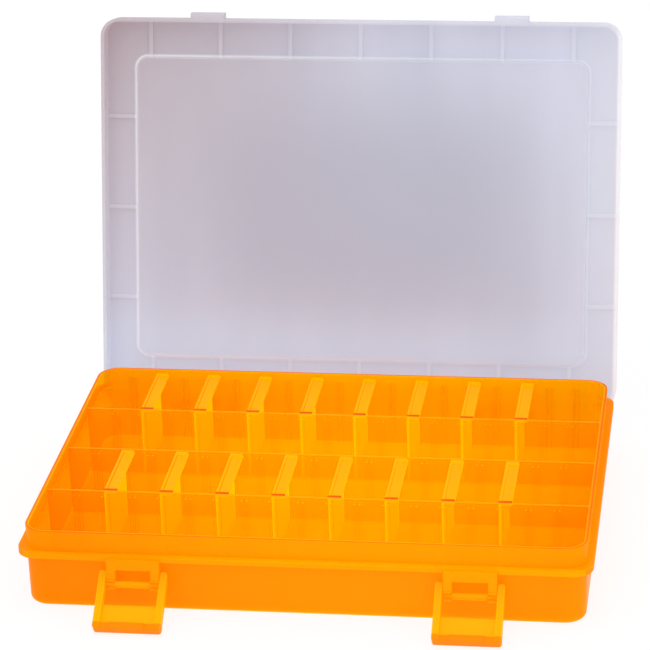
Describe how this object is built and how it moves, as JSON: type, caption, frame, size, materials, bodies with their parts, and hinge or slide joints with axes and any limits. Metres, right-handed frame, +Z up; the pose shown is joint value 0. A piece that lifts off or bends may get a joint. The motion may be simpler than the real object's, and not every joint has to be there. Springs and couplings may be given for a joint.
{
  "type": "lure box",
  "caption": "Flat tackle box with a rowed tray, lift-out dividers, a hinged clear lid and front snap latches, shown open.",
  "frame": {"origin": "middle of the tray's flat bottom", "axes": "+X to the right seen from the front, +Y towards the lid's hinge, +Z up; the latches are on the -Y side"},
  "size_m": [0.255, 0.2757, 0.2016],
  "materials": {
    "tray_plastic": "translucent orange, moulded gloss",
    "lid_plastic": "clear, faintly milky, moulded gloss",
    "amber_plastic": "translucent amber, moulded gloss"
  },
  "bodies": {
    "tray": {"tray": "tray_plastic"},
    "lid": {"lid": "lid_plastic"},
    "latch_left": {"latch_left": "amber_plastic"},
    "latch_right": {"latch_right": "amber_plastic"},
    "divider_row1_1": {"divider_row1_1": "amber_plastic"},
    "divider_row1_2": {"divider_row1_2": "amber_plastic"},
    "divider_row1_3": {"divider_row1_3": "amber_plastic"},
    "divider_row1_4": {"divider_row1_4": "amber_plastic"},
    "divider_row1_5": {"divider_row1_5": "amber_plastic"},
    "divider_row1_6": {"divider_row1_6": "amber_plastic"},
    "divider_row1_7": {"divider_row1_7": "amber_plastic"},
    "divider_row1_8": {"divider_row1_8": "amber_plastic"},
    "divider_row3_1": {"divider_row3_1": "amber_plastic"},
    "divider_row3_2": {"divider_row3_2": "amber_plastic"},
    "divider_row3_3": {"divider_row3_3": "amber_plastic"},
    "divider_row3_4": {"divider_row3_4": "amber_plastic"},
    "divider_row3_5": {"divider_row3_5": "amber_plastic"},
    "divider_row3_6": {"divider_row3_6": "amber_plastic"},
    "divider_row3_7": {"divider_row3_7": "amber_plastic"},
    "divider_row3_8": {"divider_row3_8": "amber_plastic"}
  },
  "joints": [
    {"name": "lid_hinge", "type": "hinge", "parent": "tray", "child": "lid", "pos_m": [0, 0.0944, 0.018], "axis": [-1, 0, 0], "range_deg": [-103.4, 0]},
    {"name": "latch_left_pivot", "type": "hinge", "parent": "tray", "child": "latch_left", "pos_m": [-0.0744, -0.097, 0.0153], "axis": [1, 0, 0], "range_deg": [-126.05, 60]},
    {"name": "latch_right_pivot", "type": "hinge", "parent": "tray", "child": "latch_right", "pos_m": [0.0744, -0.097, 0.0153], "axis": [1, 0, 0], "range_deg": [-126.05, 60]},
    {"name": "divider_row1_1_lift", "type": "slide", "parent": "tray", "child": "divider_row1_1", "axis": [0, 0, 1], "range_m": [0, 0.04]},
    {"name": "divider_row1_2_lift", "type": "slide", "parent": "tray", "child": "divider_row1_2", "axis": [0, 0, 1], "range_m": [0, 0.04]},
    {"name": "divider_row1_3_lift", "type": "slide", "parent": "tray", "child": "divider_row1_3", "axis": [0, 0, 1], "range_m": [0, 0.04]},
    {"name": "divider_row1_4_lift", "type": "slide", "parent": "tray", "child": "divider_row1_4", "axis": [0, 0, 1], "range_m": [0, 0.04]},
    {"name": "divider_row1_5_lift", "type": "slide", "parent": "tray", "child": "divider_row1_5", "axis": [0, 0, 1], "range_m": [0, 0.04]},
    {"name": "divider_row1_6_lift", "type": "slide", "parent": "tray", "child": "divider_row1_6", "axis": [0, 0, 1], "range_m": [0, 0.04]},
    {"name": "divider_row1_7_lift", "type": "slide", "parent": "tray", "child": "divider_row1_7", "axis": [0, 0, 1], "range_m": [0, 0.04]},
    {"name": "divider_row1_8_lift", "type": "slide", "parent": "tray", "child": "divider_row1_8", "axis": [0, 0, 1], "range_m": [0, 0.04]},
    {"name": "divider_row3_1_lift", "type": "slide", "parent": "tray", "child": "divider_row3_1", "axis": [0, 0, 1], "range_m": [0, 0.04]},
    {"name": "divider_row3_2_lift", "type": "slide", "parent": "tray", "child": "divider_row3_2", "axis": [0, 0, 1], "range_m": [0, 0.04]},
    {"name": "divider_row3_3_lift", "type": "slide", "parent": "tray", "child": "divider_row3_3", "axis": [0, 0, 1], "range_m": [0, 0.04]},
    {"name": "divider_row3_4_lift", "type": "slide", "parent": "tray", "child": "divider_row3_4", "axis": [0, 0, 1], "range_m": [0, 0.04]},
    {"name": "divider_row3_5_lift", "type": "slide", "parent": "tray", "child": "divider_row3_5", "axis": [0, 0, 1], "range_m": [0, 0.04]},
    {"name": "divider_row3_6_lift", "type": "slide", "parent": "tray", "child": "divider_row3_6", "axis": [0, 0, 1], "range_m": [0, 0.04]},
    {"name": "divider_row3_7_lift", "type": "slide", "parent": "tray", "child": "divider_row3_7", "axis": [0, 0, 1], "range_m": [0, 0.04]},
    {"name": "divider_row3_8_lift", "type": "slide", "parent": "tray", "child": "divider_row3_8", "axis": [0, 0, 1], "range_m": [0, 0.04]}
  ]
}
